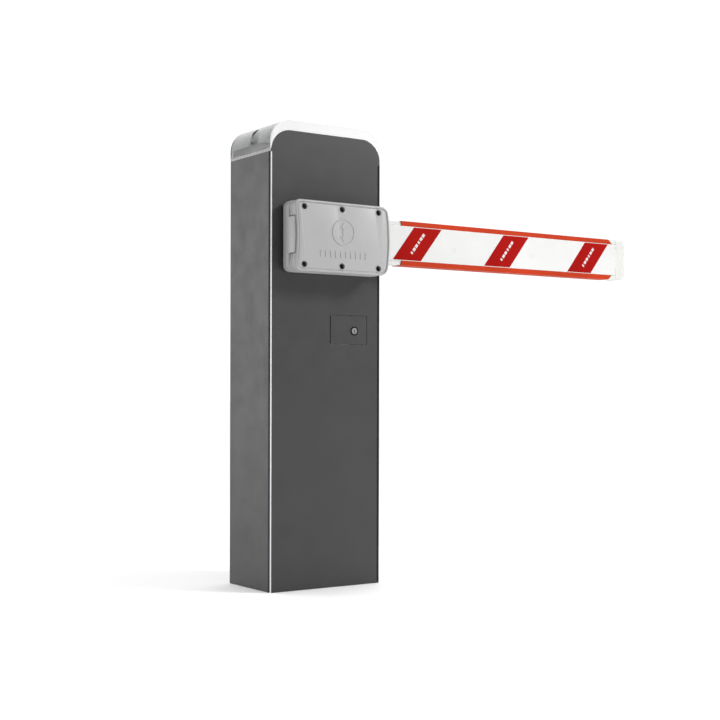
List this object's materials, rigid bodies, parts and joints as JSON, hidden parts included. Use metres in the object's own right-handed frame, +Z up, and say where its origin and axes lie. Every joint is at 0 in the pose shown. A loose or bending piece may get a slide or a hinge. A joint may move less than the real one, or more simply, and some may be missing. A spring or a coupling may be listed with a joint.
{
  "type": "parking barrier gate",
  "caption": "Floor-standing parking barrier: sheet-metal cabinet with a clear domed cap and a short red and white boom that a worm drive lifts upright.",
  "frame": {"origin": "centre of the cabinet footprint on the ground, which is the centre of the four anchor holes in the base plate", "axes": "+Z up, -Y the front with the boom clamp and the release flap, +X the way the boom points when it is down"},
  "size_m": [1.0905, 0.2582, 1.1],
  "materials": {
    "zinc_steel": "bright zinc plate",
    "cabinet_paint": "fine-texture anthracite powder coat",
    "bright_aluminium": "bright cut bevel",
    "grey_plastic": "moulded grey",
    "clear_plastic": "clear polycarbonate",
    "dark_screw": "black oxide",
    "white_board": "solder mask",
    "amber_lens": "clear amber",
    "black_rubber": "matt",
    "lock_chrome": "satin nickel",
    "red_plastic": "moulded",
    "bearing_iron": "as cast, machined faces",
    "bearing_steel": "ground",
    "gear_bronze": "machined",
    "cast_aluminium": "die cast",
    "motor_paint": "satin",
    "black_plastic": "moulded",
    "spring_steel": "oiled",
    "clamp_paint": "satin grey coat on die casting",
    "beam_paint": "gloss white coat",
    "orange_rubber": "semi-gloss",
    "white_plastic": "moulded",
    "red_film": "reflective film",
    "green_board": "solder mask",
    "green_plastic": "moulded",
    "copper_winding": "taped winding"
  },
  "bodies": {
    "cabinet": {"base_plate": "zinc_steel", "chassis_frame": "zinc_steel", "left_side_panel": "cabinet_paint", "right_side_panel": "cabinet_paint", "rear_frame": "cabinet_paint", "top_plate": "zinc_steel", "front_panel": "cabinet_paint", "edge_trim": "bright_aluminium", "cap_frame": "grey_plastic", "cap_lens": "clear_plastic", "cap_screws": "dark_screw", "led_board": "white_board", "led_lamps": "amber_lens", "door_hinges": "zinc_steel", "door_gasket": "black_rubber", "flap_hinge": "zinc_steel", "front_bearing": "bearing_iron", "rear_bearing": "bearing_steel", "gearbox_front_half": "cast_aluminium", "gearbox_rear_half": "cast_aluminium", "gearbox_standoffs": "zinc_steel", "motor_body": "motor_paint", "motor_end_cap": "black_plastic", "motor_cable": "black_rubber", "chassis_brackets": "zinc_steel", "stop_bumpers": "black_rubber", "balance_spring": "spring_steel", "tension_rod": "zinc_steel", "control_box": "grey_plastic", "control_box_cover": "clear_plastic", "control_board": "green_board", "terminal_blocks": "green_plastic", "transformer": "copper_winding"},
    "boom": {"main_shaft": "bearing_steel", "shaft_key": "bearing_steel", "worm_wheel": "gear_bronze", "spring_lever": "zinc_steel", "hub_flange": "bearing_steel", "hub_bolts": "dark_screw", "clamp_rear_shell": "clamp_paint", "clamp_cover": "clamp_paint", "clamp_screws": "dark_screw", "cover_badge": "clamp_paint", "beam_profile": "beam_paint", "upper_rubber": "orange_rubber", "lower_rubber": "orange_rubber", "beam_end_cap": "white_plastic", "reflective_stickers": "red_film"},
    "worm": {"worm_shaft": "bearing_steel"},
    "hanger": {"spring_hanger": "zinc_steel"},
    "door": {"rear_door": "cabinet_paint", "door_knuckles": "zinc_steel", "door_lock": "lock_chrome"},
    "door_bolt": {"door_cam": "zinc_steel"},
    "flap": {"release_flap": "cabinet_paint"},
    "flap_bolt": {"flap_lock": "lock_chrome"},
    "handle": {"release_handle": "red_plastic", "release_crank": "zinc_steel"},
    "rod": {"release_rod": "zinc_steel"},
    "declutch": {"declutch_lever": "zinc_steel"}
  },
  "joints": [
    {"name": "beam_lift", "type": "hinge", "parent": "cabinet", "child": "boom", "pos_m": [0, -0.1, 0.826], "axis": [0, -1, 0], "range_deg": [0, 90], "deforming": ["balance_spring"]},
    {"name": "worm_spin", "type": "hinge", "parent": "cabinet", "child": "worm", "pos_m": [0.069, 0.008, 0.826], "axis": [0, 0, -1], "range_deg": [0, 3240]},
    {"name": "hanger_swing", "type": "hinge", "parent": "boom", "child": "hanger", "pos_m": [-0.04243, -0.0435, 0.86843], "axis": [0, -1, 0], "range_deg": [-90, 0]},
    {"name": "door_swing", "type": "hinge", "parent": "cabinet", "child": "door", "pos_m": [-0.1465, 0.093, 0.5], "axis": [0, 0, 1], "range_deg": [0, 90]},
    {"name": "door_lock_turn", "type": "hinge", "parent": "door", "child": "door_bolt", "pos_m": [0.108, 0.085, 0.52], "axis": [0, -1, 0], "range_deg": [0, 90]},
    {"name": "flap_swing", "type": "hinge", "parent": "cabinet", "child": "flap", "pos_m": [0.0135, -0.093, 0.6145], "axis": [0, 0, -1], "range_deg": [0, 90]},
    {"name": "flap_lock_turn", "type": "hinge", "parent": "flap", "child": "flap_bolt", "pos_m": [0.0798, -0.092, 0.6123], "axis": [0, -1, 0], "range_deg": [0, 90]},
    {"name": "release_turn", "type": "hinge", "parent": "cabinet", "child": "handle", "pos_m": [0.06, -0.08, 0.612], "axis": [0, -1, 0], "range_deg": [0, 60]},
    {"name": "release_rod_pivot", "type": "hinge", "parent": "handle", "child": "rod", "pos_m": [0.04095, -0.069, 0.623], "axis": [0, -1, 0], "range_deg": [-60, 0]},
    {"name": "declutch_turn", "type": "hinge", "parent": "cabinet", "child": "declutch", "pos_m": [0.06, -0.05, 0.79], "axis": [0, -1, 0], "range_deg": [0, 60]}
  ],
  "couplings": [
    {"joint": "worm_spin", "follows": "beam_lift", "ratio": 36},
    {"joint": "hanger_swing", "follows": "beam_lift", "ratio": -1},
    {"joint": "release_rod_pivot", "follows": "release_turn", "ratio": -1},
    {"joint": "declutch_turn", "follows": "release_turn", "ratio": 1}
  ]
}
